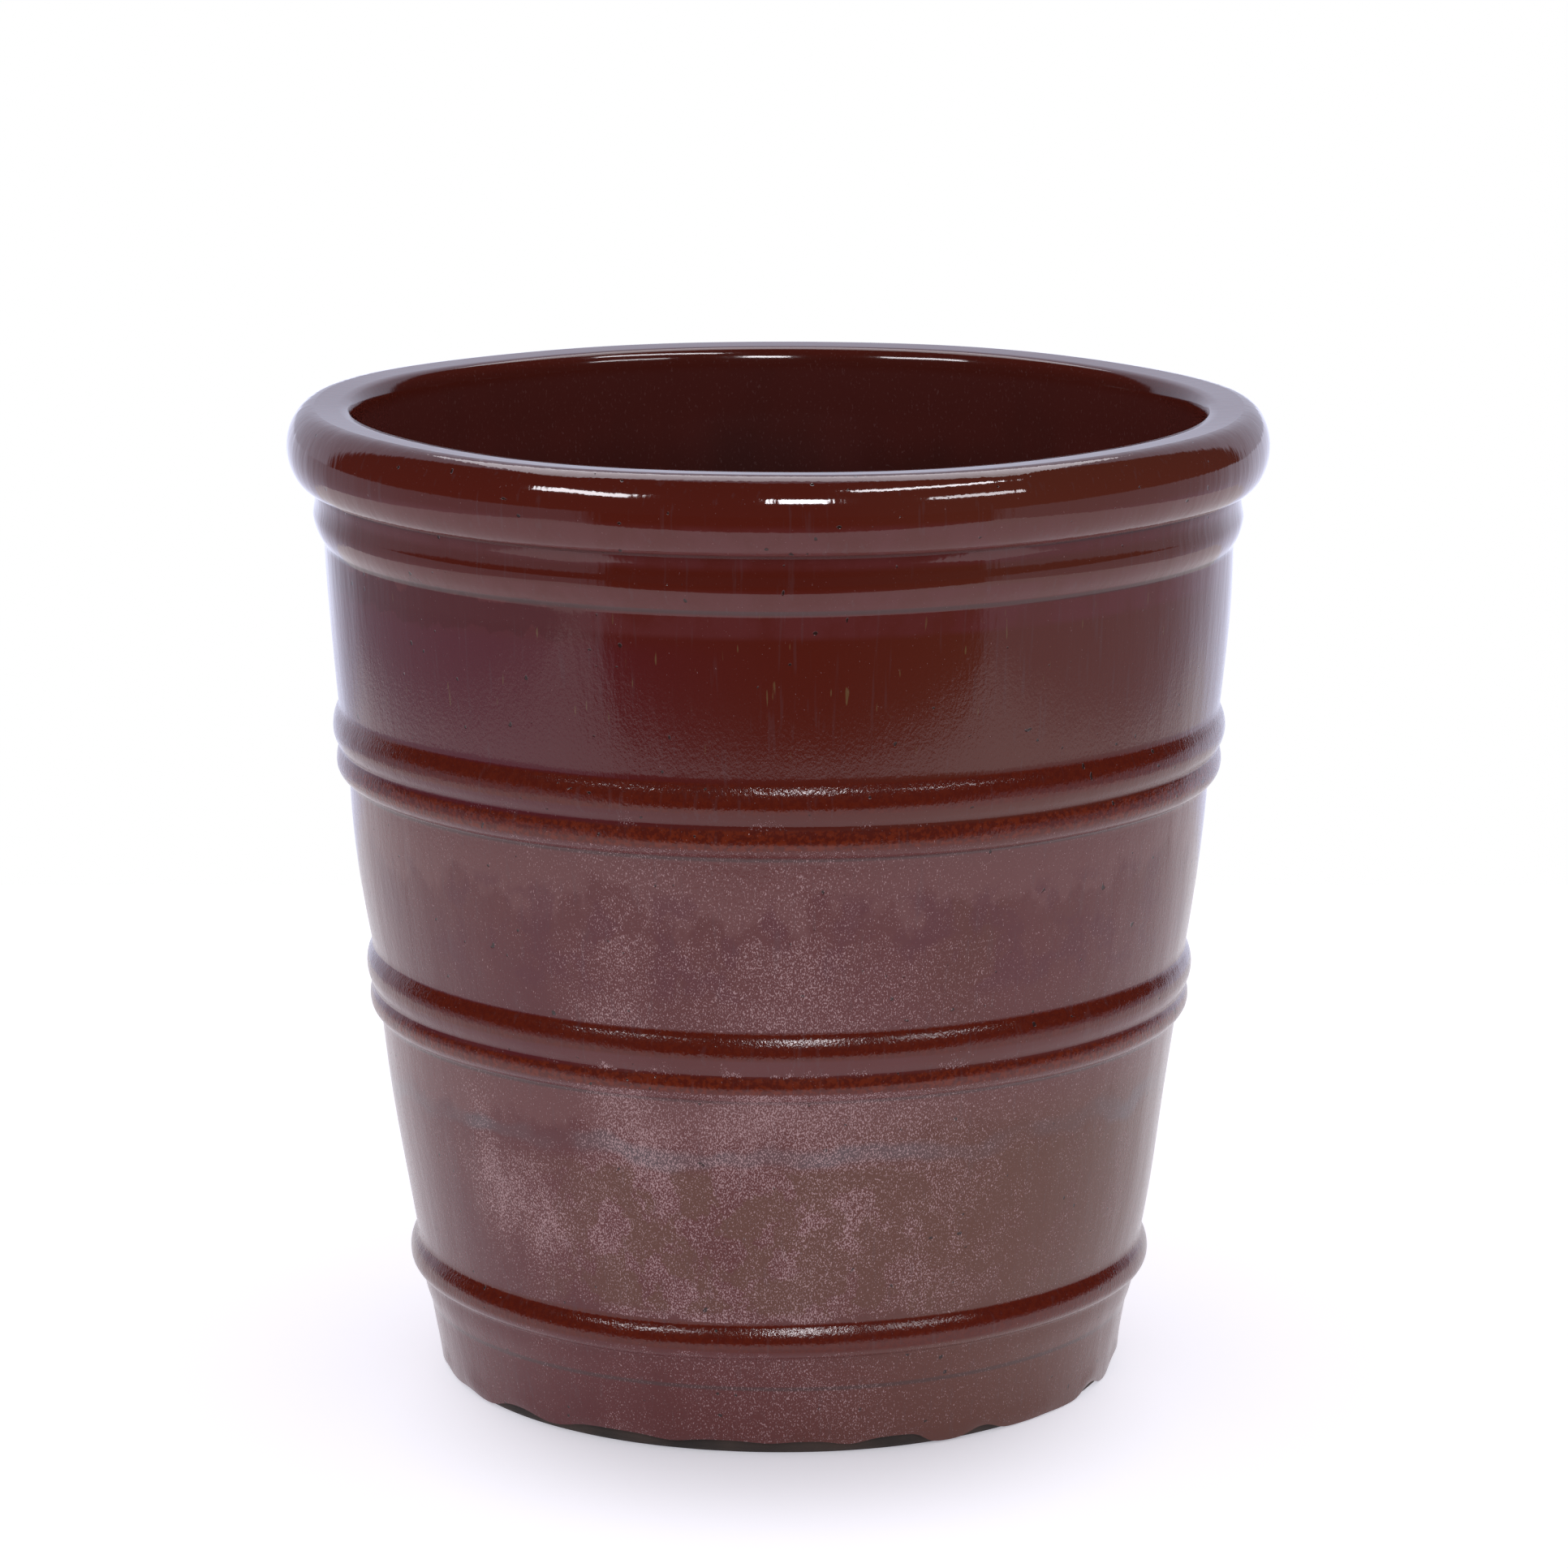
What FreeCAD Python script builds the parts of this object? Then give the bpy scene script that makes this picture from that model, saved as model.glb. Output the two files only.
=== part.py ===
import FreeCAD, Part
import math
import os
import Sketcher

# Glazed garden pot, millimetres, +Z up, origin in the middle of the standing face.
# Every piece is a ring or disc turned about Z.  Radii and heights named "glazed" lie on
# the finished surface; the clay underneath sits one glaze thickness further in.

SIZES = {
    # shared thicknesses
    "glaze": 1.0,
    "glaze_stop_height": 5.0,
    # floor and drain hole
    "floor_thickness": 20.0,
    "floor_radius": 160.0,
    "drain_radius": 15.0,
    "drain_margin": 5.0,
    # foot
    "foot_radius": 175.3,
    # each band from below: crease, crest of the bottom bead, groove, crest of the top bead, top
    "lower_crease_radius": 182.0,
    "lower_crease_height": 36.5,
    "lower_bottom_radius": 188.5,
    "lower_bottom_height": 44.5,
    "lower_groove_radius": 186.4,
    "lower_groove_height": 53.0,
    "lower_crest_radius": 192.4,
    "lower_crest_height": 60.6,
    "lower_top_radius": 189.0,
    "lower_top_height": 73.4,
    "middle_crease_radius": 206.0,
    "middle_crease_height": 189.3,
    "middle_bottom_radius": 211.5,
    "middle_bottom_height": 196.8,
    "middle_groove_radius": 206.9,
    "middle_groove_height": 204.0,
    "middle_crest_radius": 213.0,
    "middle_crest_height": 214.0,
    "middle_top_radius": 210.2,
    "middle_top_height": 226.4,
    "upper_crease_radius": 220.2,
    "upper_crease_height": 312.8,
    "upper_bottom_radius": 226.7,
    "upper_bottom_height": 321.0,
    "upper_groove_radius": 222.3,
    "upper_groove_height": 330.0,
    "upper_crest_radius": 228.7,
    "upper_crest_height": 339.3,
    "upper_top_radius": 226.0,
    "upper_top_height": 352.7,
    # collar bead under the rim
    "collar_foot_radius": 231.7,
    "collar_foot_height": 434.9,
    "collar_crest_radius": 236.9,
    "collar_crest_height": 448.6,
    # long gentle curves of the wall between the bands
    "lower_wall_curve": 1660.0,
    "middle_wall_curve": 650.0,
    "upper_wall_curve": 1020.0,
    "inner_wall_curve": 3300.0,
    # rolled rim: an oval of three arcs outside, a nearly flat crown and a bevelled inner lip
    "rim_crown_radius": 236.3,
    "rim_height": 502.0,
    "rim_small_curve": 11.0,
    "rim_belly_centre": 224.0,
    "rim_belly_height": 482.1,
    "rim_lip_top_radius": 219.3,
    "rim_lip_top_height": 501.0,
    "rim_inner_radius": 216.3,
    "rim_lip_side_height": 496.0,
}

FULL_TURN = 360.0
LEFT_TURN = 1
RIGHT_TURN = -1
START, END = 1, 2
ORIGIN = (-1, 1)
FLOOR_LINE = -1


class Size:
    """A length kept both as a spreadsheet formula and as a number."""

    def __init__(self, formula, number):
        self.formula = formula
        self.number = number

    def __add__(self, other):
        return Size(f"({self.formula} + {other.formula})", self.number + other.number)

    def __sub__(self, other):
        return Size(f"({self.formula} - {other.formula})", self.number - other.number)

    def __mul__(self, other):
        return Size(f"({self.formula} * {other.formula})", self.number * other.number)

    def __truediv__(self, other):
        return Size(f"({self.formula} / {other.formula})", self.number / other.number)


def size(name):
    return Size(f"sizes.{name}", SIZES[name])


def root_of_squares(first, second):
    formula = f"sqrt({first.formula}^2 + {second.formula}^2)"
    return Size(formula, math.hypot(first.number, second.number))


FLOOR = None
STRAIGHT = None
BARE = Size("0", 0.0)
GLAZE = size("glaze")


def new_sheet(doc):
    sheet = doc.addObject("Spreadsheet::Sheet", "sizes")
    for row, (name, number) in enumerate(SIZES.items(), start=1):
        sheet.set(f"A{row}", name)
        sheet.set(f"B{row}", str(number))
        sheet.setAlias(f"B{row}", name)
    return sheet


def level_plane(body, role):
    return next(item for item in body.Origin.OriginFeatures if item.Role == role)


def arc_between(first, last, radius, turn):
    """Minor arc from first to last, turning left (counter-clockwise) or right."""
    middle = (first + last) * 0.5
    chord = last - first
    half = chord.Length / 2
    rise = math.sqrt(max(radius * radius - half * half, 0.0))
    left = FreeCAD.Vector(-chord.y, chord.x, 0).normalize()
    centre = middle + left * (rise * turn)
    angles = [math.atan2(p.y - centre.y, p.x - centre.x) for p in (first, last)]
    if turn == RIGHT_TURN:
        angles.reverse()
    if angles[1] < angles[0]:
        angles[1] += 2 * math.pi
    circle = Part.Circle(centre, FreeCAD.Vector(0, 0, 1), radius)
    return Part.ArcOfCircle(circle, angles[0], angles[1])


def bind(sketch, constraint, length):
    index = sketch.addConstraint(constraint)
    sketch.setExpression(f"Constraints[{index}]", length.formula)


def pin(sketch, geometry, vertex, corner):
    """Hold one vertex at its radius and height."""
    radius, height = corner
    bind(sketch, Sketcher.Constraint("DistanceX", *ORIGIN, geometry, vertex, radius.number), radius)
    if height is FLOOR:
        sketch.addConstraint(Sketcher.Constraint("PointOnObject", geometry, vertex, FLOOR_LINE))
    else:
        bind(sketch, Sketcher.Constraint("DistanceY", *ORIGIN, geometry, vertex, height.number), height)


def section(body, outline):
    """Closed half-section.  outline holds (corner, curve) pairs: the corner is
    (radius, height) and the curve to the next corner is STRAIGHT or
    (arc radius, turn)."""
    sketch = body.newObject("Sketcher::SketchObject", f"{body.Name}_section")
    sketch.AttachmentSupport = [(level_plane(body, "XZ_Plane"), "")]
    sketch.MapMode = "FlatFace"
    points = [FreeCAD.Vector(r.number, 0 if z is FLOOR else z.number, 0) for (r, z), _ in outline]
    count = len(outline)
    heads = []
    tails = []
    for index, (_, curve) in enumerate(outline):
        first = points[index]
        last = points[(index + 1) % count]
        if curve is STRAIGHT:
            sketch.addGeometry(Part.LineSegment(first, last), False)
            head, tail = START, END
        else:
            radius, turn = curve
            sketch.addGeometry(arc_between(first, last, radius.number, turn), False)
            head, tail = (START, END) if turn == LEFT_TURN else (END, START)
        heads.append(head)
        tails.append(tail)
    for index in range(count):
        after = (index + 1) % count
        sketch.addConstraint(Sketcher.Constraint("Coincident", index, tails[index], after, heads[after]))
    for index, (corner, curve) in enumerate(outline):
        pin(sketch, index, heads[index], corner)
        if curve is not STRAIGHT:
            radius = curve[0]
            bind(sketch, Sketcher.Constraint("Radius", index, radius.number), radius)
    return sketch


def turned(doc, label, outline):
    """One separate solid of revolution about Z."""
    body = doc.addObject("PartDesign::Body", label)
    body.Label = label
    sketch = section(body, outline)
    turn = body.newObject("PartDesign::Revolution", f"{label}_turn")
    turn.Profile = sketch
    turn.ReferenceAxis = (sketch, ["V_Axis"])
    turn.Angle = FULL_TURN
    body.Tip = turn
    body.Placement = FreeCAD.Placement()
    return body


def station(name, skin):
    """Corner on the outside, skin in from the glazed surface."""
    return size(f"{name}_radius") - skin, size(f"{name}_height")


def foot_path(skin):
    """Foot up to the lower crease, starting on the ground."""
    return [((size("foot_radius") - skin, FLOOR), STRAIGHT)]


def glaze_stop(skin):
    """Corner on the foot slope where the glaze ends."""
    slope = (size("lower_crease_radius") - size("foot_radius")) / size("lower_crease_height")
    radius = size("foot_radius") + slope * size("glaze_stop_height") - skin
    return radius, size("glaze_stop_height")


def flank(corner, crest):
    """Radius of the arc that meets corner and stands upright at crest."""
    run = crest[0] - corner[0]
    rise = crest[1] - corner[1]
    return (run * run + rise * rise) / (run + run)


def bead_path(low, crest, high):
    """Round face of a coil from its low corner over its crest, up to its high corner."""
    return [
        (low, (flank(low, crest), LEFT_TURN)),
        (crest, (flank(high, crest), LEFT_TURN)),
    ]


def band_corners(band, skin):
    names = ("crease", "bottom", "groove", "crest", "top")
    return [station(f"{band}_{name}", skin) for name in names]


def wall_path(skin, beads):
    """Lower crease up to the collar, over the beads or along their flat seats."""
    path = []
    for band in ("lower", "middle", "upper"):
        crease, bottom, groove, crest, top = band_corners(band, skin)
        if beads:
            path += bead_path(crease, bottom, groove)
            path += bead_path(groove, crest, top)
        else:
            path += [(crease, STRAIGHT), (groove, STRAIGHT)]
        path.append((top, (size(f"{band}_wall_curve"), LEFT_TURN)))
    collar_foot = station("collar_foot", skin)
    if beads:
        path += bead_path(collar_foot, station("collar_crest", skin), collar_top(skin))
    else:
        path.append((collar_foot, STRAIGHT))
    return path


def rim_under():
    return size("rim_belly_height") + size("rim_belly_height") - size("rim_height")


def collar_top(skin):
    return size("rim_crown_radius") - skin, rim_under()


def rim_path(skin):
    """Outside of the rolled rim from its underside up to just before the crown."""
    small = size("rim_small_curve")
    crown = size("rim_crown_radius")
    belly = size("rim_belly_height")
    upper_centre = size("rim_height") - small
    run = crown - size("rim_belly_centre")
    rise = upper_centre - belly
    span = root_of_squares(run, rise)
    small_skin = small - skin
    joint_radius = crown + small_skin * run / span
    joint_rise = rise + small_skin * rise / span
    return [
        ((crown, rim_under() + skin), (small_skin, LEFT_TURN)),
        ((joint_radius, belly - joint_rise), (span + small_skin, LEFT_TURN)),
        ((joint_radius, belly + joint_rise), (small_skin, LEFT_TURN)),
    ]


def crown_corner(skin):
    return size("rim_crown_radius"), size("rim_height") - skin


def lip_top(skin):
    """Inner end of the crown, where the bevel of the lip starts."""
    return size("rim_lip_top_radius") + skin, size("rim_lip_top_height") - skin


def lip_side(skin):
    """Lower end of the lip's bevel, where the inside runs straight down."""
    return size("rim_inner_radius") + skin, size("rim_lip_side_height")


def throat_corner(skin):
    """Inside of the pot at the level where the rim sits on the wall."""
    return size("rim_inner_radius") + skin, rim_under() + GLAZE


def backwards(path, last_corner):
    """The same line walked the other way, from last_corner to the first corner."""
    corners = [corner for corner, _ in path] + [last_corner]
    curves = [curve for _, curve in path]
    result = []
    for corner, curve in zip(reversed(corners[1:]), reversed(curves)):
        if curve is not STRAIGHT:
            curve = (curve[0], -curve[1])
        result.append((corner, curve))
    result.append((corners[0], STRAIGHT))
    return result


def floor_slab(doc):
    top = size("floor_thickness")
    hole = size("drain_radius")
    edge = size("floor_radius")
    return turned(doc, "floor_slab", [
        ((hole, FLOOR), STRAIGHT),
        ((edge, FLOOR), STRAIGHT),
        ((edge, top), STRAIGHT),
        ((hole, top), STRAIGHT),
    ])


def wall(doc):
    edge = size("floor_radius")
    outline = [((edge, FLOOR), STRAIGHT)]
    outline += foot_path(GLAZE)
    outline += wall_path(GLAZE, beads=False)
    outline += [
        (collar_top(GLAZE), STRAIGHT),
        (rim_path(GLAZE)[0][0], STRAIGHT),
        (throat_corner(GLAZE), (size("inner_wall_curve"), RIGHT_TURN)),
        ((edge, size("floor_thickness")), STRAIGHT),
    ]
    return turned(doc, "wall", outline)


def rim_roll(doc):
    outline = rim_path(GLAZE)
    outline += [
        (crown_corner(GLAZE), STRAIGHT),
        (lip_top(GLAZE), STRAIGHT),
        (lip_side(GLAZE), STRAIGHT),
        (throat_corner(GLAZE), STRAIGHT),
    ]
    return turned(doc, "rim_roll", outline)


def bead(doc, label, low, crest, high):
    """Coil of clay pressed on the outside: a flat seat and a round face."""
    return turned(doc, label, bead_path(low, crest, high) + [(high, STRAIGHT)])


def band_beads(doc, band):
    crease, bottom, groove, crest, top = band_corners(band, GLAZE)
    return [
        bead(doc, f"{band}_band_bottom", crease, bottom, groove),
        bead(doc, f"{band}_band_top", groove, crest, top),
    ]


def collar_bead(doc):
    low = station("collar_foot", GLAZE)
    return bead(doc, "collar_bead", low, station("collar_crest", GLAZE), collar_top(GLAZE))


def outer_glaze(doc):
    finished = [(glaze_stop(BARE), STRAIGHT)]
    finished += wall_path(BARE, beads=True)
    finished += rim_path(BARE)
    clay = [(glaze_stop(GLAZE), STRAIGHT)]
    clay += wall_path(GLAZE, beads=True)
    clay += [(collar_top(GLAZE), STRAIGHT)]
    clay += rim_path(GLAZE)
    outline = finished
    outline += [(crown_corner(BARE), STRAIGHT)]
    outline += backwards(clay, crown_corner(GLAZE))
    return turned(doc, "outer_glaze", outline)


def inner_glaze(doc):
    floor_top = size("floor_thickness")
    drain_edge = size("drain_radius") + size("drain_margin")
    floor_edge = size("floor_radius")
    inner_curve = size("inner_wall_curve")
    return turned(doc, "inner_glaze", [
        ((drain_edge, floor_top), STRAIGHT),
        ((floor_edge, floor_top), (inner_curve, LEFT_TURN)),
        (throat_corner(GLAZE), STRAIGHT),
        (lip_side(GLAZE), STRAIGHT),
        (lip_top(GLAZE), STRAIGHT),
        (crown_corner(GLAZE), STRAIGHT),
        (crown_corner(BARE), STRAIGHT),
        (lip_top(BARE), STRAIGHT),
        (lip_side(BARE), STRAIGHT),
        (throat_corner(BARE), (inner_curve, RIGHT_TURN)),
        ((floor_edge - GLAZE, floor_top + GLAZE), STRAIGHT),
        ((drain_edge, floor_top + GLAZE), STRAIGHT),
    ])


def check(doc, pieces):
    for item in doc.Objects:
        for flag in ("Invalid", "Error"):
            if flag in item.State:
                raise RuntimeError(f"{item.Label} is {item.State}")
    for piece in pieces:
        shape = piece.Shape
        if shape.isNull() or not shape.isValid() or len(shape.Solids) != 1:
            raise RuntimeError(f"{piece.Label} is not one sound solid")


def main():
    doc = FreeCAD.newDocument("pot")
    new_sheet(doc)
    doc.recompute()
    pieces = [floor_slab(doc), wall(doc), rim_roll(doc), collar_bead(doc)]
    for band in ("lower", "middle", "upper"):
        pieces += band_beads(doc, band)
    pieces += [outer_glaze(doc), inner_glaze(doc)]
    doc.recompute()
    check(doc, pieces)
    os.makedirs("parts", exist_ok=True)
    for piece in pieces:
        piece.Shape.exportStep(f"parts/{piece.Label}.step")
        box = piece.Shape.BoundBox
        print(f"{piece.Label}: volume {piece.Shape.Volume:.0f} mm3, z {box.ZMin:.1f} to {box.ZMax:.1f}")


main()
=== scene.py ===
import math

import bmesh
import bpy
import numpy as np
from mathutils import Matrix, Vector


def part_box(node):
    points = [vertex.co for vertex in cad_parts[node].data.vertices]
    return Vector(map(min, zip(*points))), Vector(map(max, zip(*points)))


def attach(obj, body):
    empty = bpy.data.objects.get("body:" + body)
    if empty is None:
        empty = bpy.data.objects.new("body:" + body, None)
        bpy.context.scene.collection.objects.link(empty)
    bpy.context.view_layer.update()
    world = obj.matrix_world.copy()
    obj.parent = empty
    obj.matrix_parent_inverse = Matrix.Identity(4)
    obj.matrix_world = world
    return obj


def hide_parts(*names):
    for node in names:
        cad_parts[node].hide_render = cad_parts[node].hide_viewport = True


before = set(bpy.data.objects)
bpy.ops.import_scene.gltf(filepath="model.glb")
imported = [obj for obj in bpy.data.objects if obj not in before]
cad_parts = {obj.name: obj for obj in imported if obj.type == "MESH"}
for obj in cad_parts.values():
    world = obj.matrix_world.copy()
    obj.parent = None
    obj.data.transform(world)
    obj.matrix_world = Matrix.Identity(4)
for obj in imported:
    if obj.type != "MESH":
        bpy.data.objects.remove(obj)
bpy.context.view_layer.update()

# Glazed garden pot, metres, +Z up, standing in the middle of the frame.  Every piece is
# turned about Z from an outline of (radius, height) points read from the CAD frame, and all
# pieces share one hand-made unevenness, so that the glaze stays on the clay.

MM = 0.001
TURN = 2 * math.pi

# mesh density
SEGMENTS = 384
GLAZE_RINGS = 190
INNER_RINGS = 110
SKIN_RINGS = 60
CLAY_RINGS = 24
FINE_STEP = 0.2 * MM
SAME_POINT = FINE_STEP / 100
BEND_WEIGHT = 6 * MM
ARC_POINTS = 16
SHARP_ANGLE = math.radians(50)

# roundness of the glaze in the creases
CREASE_SOFTNESS = 0.6 * MM
HOLLOW_SOFTNESS = 6 * MM
SHOULDER_END = 0.08
CREASE_DEPTH = 1.8 * MM
GENTLE_COIL = "lower_band_bottom"
GENTLE_STAND = 0.7 * MM
NECKED_COIL = "collar_bead"
NECK_HOLLOW = 0.9 * MM

# what counts as the long wall when its bulge is measured: away from its ends, near its chord
BULGE_MARGIN = 0.1
BULGE_LIMIT = 10 * MM

# unevenness of hand work
SEED = 11
WAVES = 14
RADIAL_WAVER = 0.30 * MM
HEIGHT_WAVER = 0.55 * MM
FLUTE_WAVER = 0.05 * MM
RIM_TILT = 0.75 * MM
# inside this radius the unevenness dies away, so that the drain stays clean
CALM_RADIUS = 0.15

# edge of the glaze above the foot
DRIP_TOP = 26 * MM
DRIP_TURN = math.radians(55)
DRIP_EDGE = 4.0 * MM
DRIP_REACH = 3.4 * MM
DRIP_THICKNESS = 1.1 * MM
DRIP_ROLL = 3.0 * MM
DRIP_FATNESS = 0.65
DRIP_VARIETY = 0.35
DRIP_LEANEST = 0.15

# rounded edges of the bare clay
FOOT_ROUNDING = 2.5 * MM
SLAB_ROUNDING = 1.5 * MM

BANDS = ("lower", "middle", "upper")


# ---------------------------------------------------------------- outlines from the frame


def rings(node):
    """Every (radius, height) that a turned CAD node has."""
    points = np.array([vertex.co[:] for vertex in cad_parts[node].data.vertices])
    return np.column_stack((np.hypot(points[:, 0], points[:, 1]), points[:, 2]))


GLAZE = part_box("outer_glaze")[1].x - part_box("rim_roll")[1].x


def bead_corners(node):
    """Low corner, crest and high corner of a coil of clay."""
    found = rings(node)
    return (
        found[found[:, 1].argmin()],
        found[found[:, 0].argmax()],
        found[found[:, 1].argmax()],
    )


def flank(corner, crest):
    """Arc from a corner to a crest where the surface stands upright."""
    run, rise = crest - corner
    radius = (run * run + rise * rise) / (2 * run)
    reach = math.asin(rise / radius)
    angles = np.linspace(reach, 0, ARC_POINTS)
    return np.column_stack((
        crest[0] - radius * (1 - np.cos(angles)),
        crest[1] - radius * np.sin(angles),
    ))


def shoulder(crest, high, lean):
    """Round top of a coil that turns back in a hollow curve into the wall above it.

    The two radii follow from the run, the rise, the steepest tilt and the lean of the wall.
    """
    top = high - SHOULDER_END * (high[1] - crest[1]) * np.array((math.tan(lean), 1))
    run, rise = crest[0] - top[0], top[1] - crest[1]
    tilt = 2 * math.atan(run / rise) + lean / 4
    turns = np.array((
        (1 - math.cos(tilt), math.cos(lean) - math.cos(tilt)),
        (math.sin(tilt), math.sin(tilt) + math.sin(lean)),
    ))
    round_radius, hollow_radius = np.linalg.solve(turns, (run, rise))
    up = np.linspace(0, tilt, ARC_POINTS)
    back = np.linspace(tilt, -lean, ARC_POINTS)
    bend = crest + round_radius * np.column_stack((np.cos(up) - 1, np.sin(up)))
    hollow = np.column_stack((np.cos(back) - math.cos(tilt), math.sin(tilt) - np.sin(back)))
    return np.vstack((bend, bend[-1] + hollow_radius * hollow * (-1, 1), high))


def bead_face(node):
    """Round face of a coil from its low corner over its crest to its high corner."""
    low, crest, high = bead_corners(node)
    if node == GENTLE_COIL:
        return long_wall(low, high, GENTLE_STAND)
    if node.endswith("_band_bottom"):
        high = between_coils(node)
    elif node.endswith("_band_top") and node.replace("top", "bottom") != GENTLE_COIL:
        low = between_coils(node.replace("top", "bottom"))
    wall_above = [part for part in long_walls() if part[0][1] == high[1]]
    if wall_above:
        foot, head, stand = wall_above[0]
        run, rise = head - foot
        top = shoulder(crest, high, math.atan((run + 4 * stand) / rise))
    elif node == NECKED_COIL:
        top = long_wall(crest, np.array((crest[0], high[1])), -NECK_HOLLOW)
    else:
        top = flank(high, crest)[::-1]
    return np.vstack((flank(low, crest), top))


def between_coils(lower_coil):
    """Bottom of the crease between the two coils of a band, filled with glaze."""
    _, crest, high = bead_corners(lower_coil)
    return np.array((max(high[0], crest[0] - CREASE_DEPTH), high[1]))


def long_walls():
    """Lower end, upper end and bulge of each stretch of wall between the coils."""
    bottoms = [f"{band}_band_bottom" for band in BANDS[1:]] + ["collar_bead"]
    walls = []
    for band, bottom in zip(BANDS, bottoms):
        foot = bead_corners(f"{band}_band_top")[2]
        head = bead_corners(bottom)[0]
        walls.append((foot, head, bulge("wall", foot, head)))
    return walls


def bulge(node, low, high, inside=False):
    """How far a node's long wall stands out of the straight line between two corners."""
    found = rings(node)
    share = (found[:, 1] - low[1]) / (high[1] - low[1])
    stand = found[:, 0] - low[0] - share * (high[0] - low[0])
    near = (share > BULGE_MARGIN) & (share < 1 - BULGE_MARGIN) & (np.abs(stand) < BULGE_LIMIT)
    if inside:
        near &= found[:, 0] < np.median(found[near, 0]) + GLAZE
    if not near.any():
        return 0.0
    return float(np.median(stand[near] / (4 * share[near] * (1 - share[near]))))


def long_wall(low, high, stand):
    share = np.linspace(0, 1, ARC_POINTS)
    points = low + np.outer(share, high - low)
    points[:, 0] += 4 * stand * share * (1 - share)
    return points


def rim_measures():
    """Crown radius, outer radius, inner radius, underside and top of the clay rim roll."""
    found = rings("rim_roll")
    crown = found[found[:, 1].argmax(), 0]
    low, high = found.min(axis=0), found.max(axis=0)
    return crown, high[0], low[0], low[1], high[1]


def rim_outside(skin):
    """Half oval from the underside of the rim over its belly to the crown."""
    crown, outer, _, under, top = rim_measures()
    middle = (under + top) / 2
    angles = np.linspace(-TURN / 4, TURN / 4, 2 * ARC_POINTS)
    return np.column_stack((
        crown + (outer - crown + skin) * np.cos(angles),
        middle + ((top - under) / 2 + skin) * np.sin(angles),
    ))


def rim_inside(skin):
    """Nearly flat crown, then the bevelled lip down to the inside of the rim."""
    crown, _, _, under, top = rim_measures()
    found = rings("rim_roll")
    bends = found[(found[:, 0] < crown - GLAZE) & (found[:, 1] > under + GLAZE)]
    lip_top = bends[bends[:, 0].argmax()]
    lip_side = bends[bends[:, 0].argmin()]
    return np.array(((crown, top + skin), lip_top + (-skin, skin), lip_side + (-skin, 0)))


def foot_corner():
    """Outside of the clay foot, on the ground."""
    found = rings("wall")
    ground = found[found[:, 1] < found[:, 1].min() + GLAZE / 2]
    return ground[ground[:, 0].argmax()]


def outside_wall():
    """Clay outline from the foot to the collar's top, over all the coils."""
    parts = [foot_corner()]
    for band, wall_above in zip(BANDS, long_walls()):
        parts.append(bead_face(f"{band}_band_bottom"))
        parts.append(bead_face(f"{band}_band_top"))
        parts.append(long_wall(*wall_above))
    parts.append(bead_face("collar_bead"))
    return np.vstack(parts)


def inside_wall(skin):
    """Outline from the inside of the rim down the wall and over the floor to the drain."""
    found = rings("inner_glaze")
    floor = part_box("floor_slab")[1].z
    clay_floor = found[np.abs(found[:, 1] - floor) < GLAZE / 2]
    edge = np.array((clay_floor[:, 0].max(), floor))
    drain = np.array((clay_floor[:, 0].min(), floor))
    throat = np.array((rim_measures()[2], rim_measures()[3]))
    wall = long_wall(throat, edge, bulge("inner_glaze", edge, throat, inside=True))
    wall[:, 0] -= skin
    return np.vstack((wall[:-1], edge + (-skin, skin), drain + (0, skin)))


def fresh(points):
    """The outline without repeated points."""
    keep = np.append(True, np.hypot(*np.diff(points, axis=0).T) > SAME_POINT)
    return points[keep]


def softened(points, softness):
    """Evenly spaced points along an outline, with its corners rounded."""
    points = fresh(points)
    travel = np.append(0, np.cumsum(np.hypot(*np.diff(points, axis=0).T)))
    places = np.linspace(0, travel[-1], int(travel[-1] / FINE_STEP))
    even = np.column_stack([np.interp(places, travel, points[:, axis]) for axis in (0, 1)])
    reach = int(3 * softness / FINE_STEP)
    offsets = np.arange(-reach, reach + 1) * FINE_STEP
    kernel = np.exp(-0.5 * (offsets / softness) ** 2)
    kernel /= kernel.sum()
    padded = np.pad(even, ((reach, reach), (0, 0)), mode="reflect", reflect_type="odd")
    return np.column_stack([np.convolve(padded[:, axis], kernel, "valid") for axis in (0, 1)])


def thinned(points, count):
    """About count points of a dense outline, closer together where it bends."""
    steps = np.diff(points, axis=0)
    heading = np.unwrap(np.arctan2(steps[:, 1], steps[:, 0]))
    effort = np.hypot(*steps.T) + BEND_WEIGHT * np.abs(np.gradient(heading))
    travel = np.append(0, np.cumsum(effort))
    wanted = np.linspace(0, travel[-1], count)
    chosen = np.interp(wanted, travel, np.arange(len(points)))
    return points[np.unique(chosen.round().astype(int))]


# ---------------------------------------------------------------- hand-made unevenness


def wave_table(seed, count, fastest_turn, fastest_climb):
    """Random waves around and up the pot: turns, climb, phase and weight of each."""
    dice = np.random.default_rng(seed)
    turns = dice.integers(1, fastest_turn + 1, count)
    climb = dice.uniform(-fastest_climb, fastest_climb, count)
    phase = dice.uniform(0, TURN, count)
    weight = 1 / np.sqrt(turns)
    return turns, climb, phase, weight / np.sqrt((weight**2).sum() / 2)


def waver(table, angle, height):
    """Sum of the waves, about one in size."""
    total = 0.0
    for turns, climb, phase, weight in zip(*table):
        total = total + weight * np.sin(turns * angle + climb * height + phase)
    return total


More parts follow.
